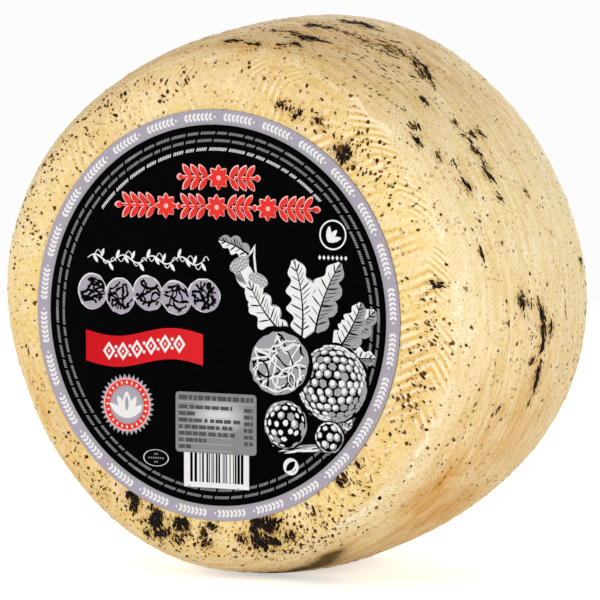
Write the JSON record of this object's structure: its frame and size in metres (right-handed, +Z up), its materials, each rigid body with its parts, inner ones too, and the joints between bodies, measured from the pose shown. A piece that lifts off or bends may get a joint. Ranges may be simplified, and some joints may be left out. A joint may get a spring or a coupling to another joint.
{
  "type": "truffle sheep cheese wheel",
  "caption": "Whole pressed wheel of hard sheep cheese with truffle flecks, a braided mark round its side and a round paper label, standing on its rim.",
  "frame": {"origin": "middle of the part's footprint, on the surface that the rim's small flat spot stands on", "axes": "+Z up, the wheel's axis along Y with the labelled face towards -Y, +X to the right of the labelled face"},
  "size_m": [0.192, 0.1166, 0.1924],
  "materials": {
    "cheese_rind": "satin pressed cheese rind, pale straw yellow with ochre stains",
    "truffle": "dull brown-black truffle pieces set flush in the rind",
    "label_black": "coated label paper printed black",
    "label_lilac": "lilac-grey print on coated paper",
    "label_red": "red print on coated paper",
    "label_white": "white print on coated paper",
    "label_grey": "mid-grey print on coated paper",
    "sticker_film": "grey printed film sticker"
  },
  "bodies": {
    "root": {"cheese_wheel": "cheese_rind", "face_label": "label_black", "grey_sticker": "sticker_film"}
  },
  "joints": []
}
